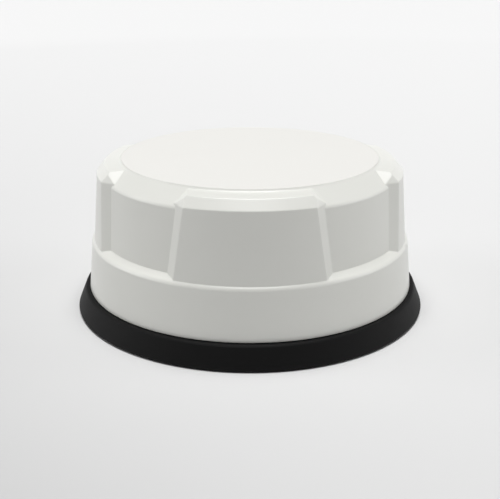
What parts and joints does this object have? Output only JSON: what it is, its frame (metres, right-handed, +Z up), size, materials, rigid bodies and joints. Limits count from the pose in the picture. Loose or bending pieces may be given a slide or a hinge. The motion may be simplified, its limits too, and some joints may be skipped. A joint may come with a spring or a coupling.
{
  "type": "gnss receiver",
  "caption": "Low round survey receiver: white radome with raised side pads on a black bumper base, with a threaded pole socket, power button and hinged port cover underneath.",
  "frame": {"origin": "centre of the ring that the receiver stands on, at ground level", "axes": "+Z up, towards the sky; -Y is the front, on one pad's centre line; +X to the right seen from the front"},
  "size_m": [0.155, 0.155, 0.0665],
  "materials": {
    "aluminium": "satin aluminium",
    "amber_film": "amber polyimide film",
    "base_plastic": "fine spark texture, black",
    "black_plastic": "black glass-filled nylon",
    "board": "green solder mask",
    "brass": "turned brass",
    "brown_sleeve": "brown insulation",
    "bumper_rubber": "matte black rubber",
    "button_rubber": "soft matte red rubber",
    "cell_sleeve": "heat-shrunk blue sleeve",
    "ceramic": "fired ceramic, unglazed",
    "disc_plastic": "smooth satin, off-white",
    "foam": "closed-cell foam",
    "led": "clear resin over phosphor",
    "light_guide": "clear acrylic",
    "membrane": "expanded polymer membrane",
    "red_sleeve": "red insulation",
    "seal_rubber": "smooth black rubber",
    "shell_plastic": "fine moulded texture, off-white",
    "steel": "plain stainless steel",
    "tin_plate": "tin-plated sheet",
    "white_plastic": "natural nylon"
  },
  "bodies": {
    "receiver": {"top_shell": "shell_plastic", "top_disc": "disc_plastic", "shell_inserts": "brass", "base_housing": "base_plastic", "bumper_ring": "bumper_rubber", "housing_seal": "seal_rubber", "housing_screws": "steel", "pole_insert": "brass", "vent_plug": "black_plastic", "vent_membrane": "membrane", "power_switch": "black_plastic", "keypad_board": "board", "keypad_screws": "steel", "light_pipes": "light_guide", "status_leds": "led", "cover_pin": "steel", "charging_port": "steel", "port_board": "board", "port_screws": "steel", "battery_cells": "cell_sleeve", "battery_cradle": "black_plastic", "cell_link": "tin_plate", "battery_pads": "foam", "battery_lead": "red_sleeve", "battery_plug": "white_plastic", "mid_frame": "aluminium", "frame_screws": "steel", "board_standoffs": "brass", "main_board": "board", "board_screws": "steel", "gnss_module": "tin_plate", "wireless_module": "tin_plate", "power_shield": "tin_plate", "wireless_antenna": "white_plastic", "keypad_ribbon": "amber_film", "port_ribbon": "amber_film", "ribbon_sockets": "white_plastic", "antenna_spacers": "brass", "antenna_screws": "steel", "ground_plane": "aluminium", "amplifier_board": "board", "lower_patch": "ceramic", "upper_patch": "ceramic", "patch_screw": "white_plastic", "feed_pins": "brass", "antenna_lead": "brown_sleeve", "lead_plugs": "brass"},
    "power_button": {"power_button": "button_rubber"},
    "port_cover": {"port_cover": "base_plastic", "port_seal": "seal_rubber"}
  },
  "joints": [
    {"name": "power_press", "type": "slide", "parent": "receiver", "child": "power_button", "axis": [0, 0, 1], "range_m": [0, 0.0008], "stiffness_N_per_m": 2500},
    {"name": "cover_hinge", "type": "hinge", "parent": "receiver", "child": "port_cover", "pos_m": [0, 0.052, 0.0056], "axis": [1, 0, 0], "range_deg": [0, 105]}
  ]
}
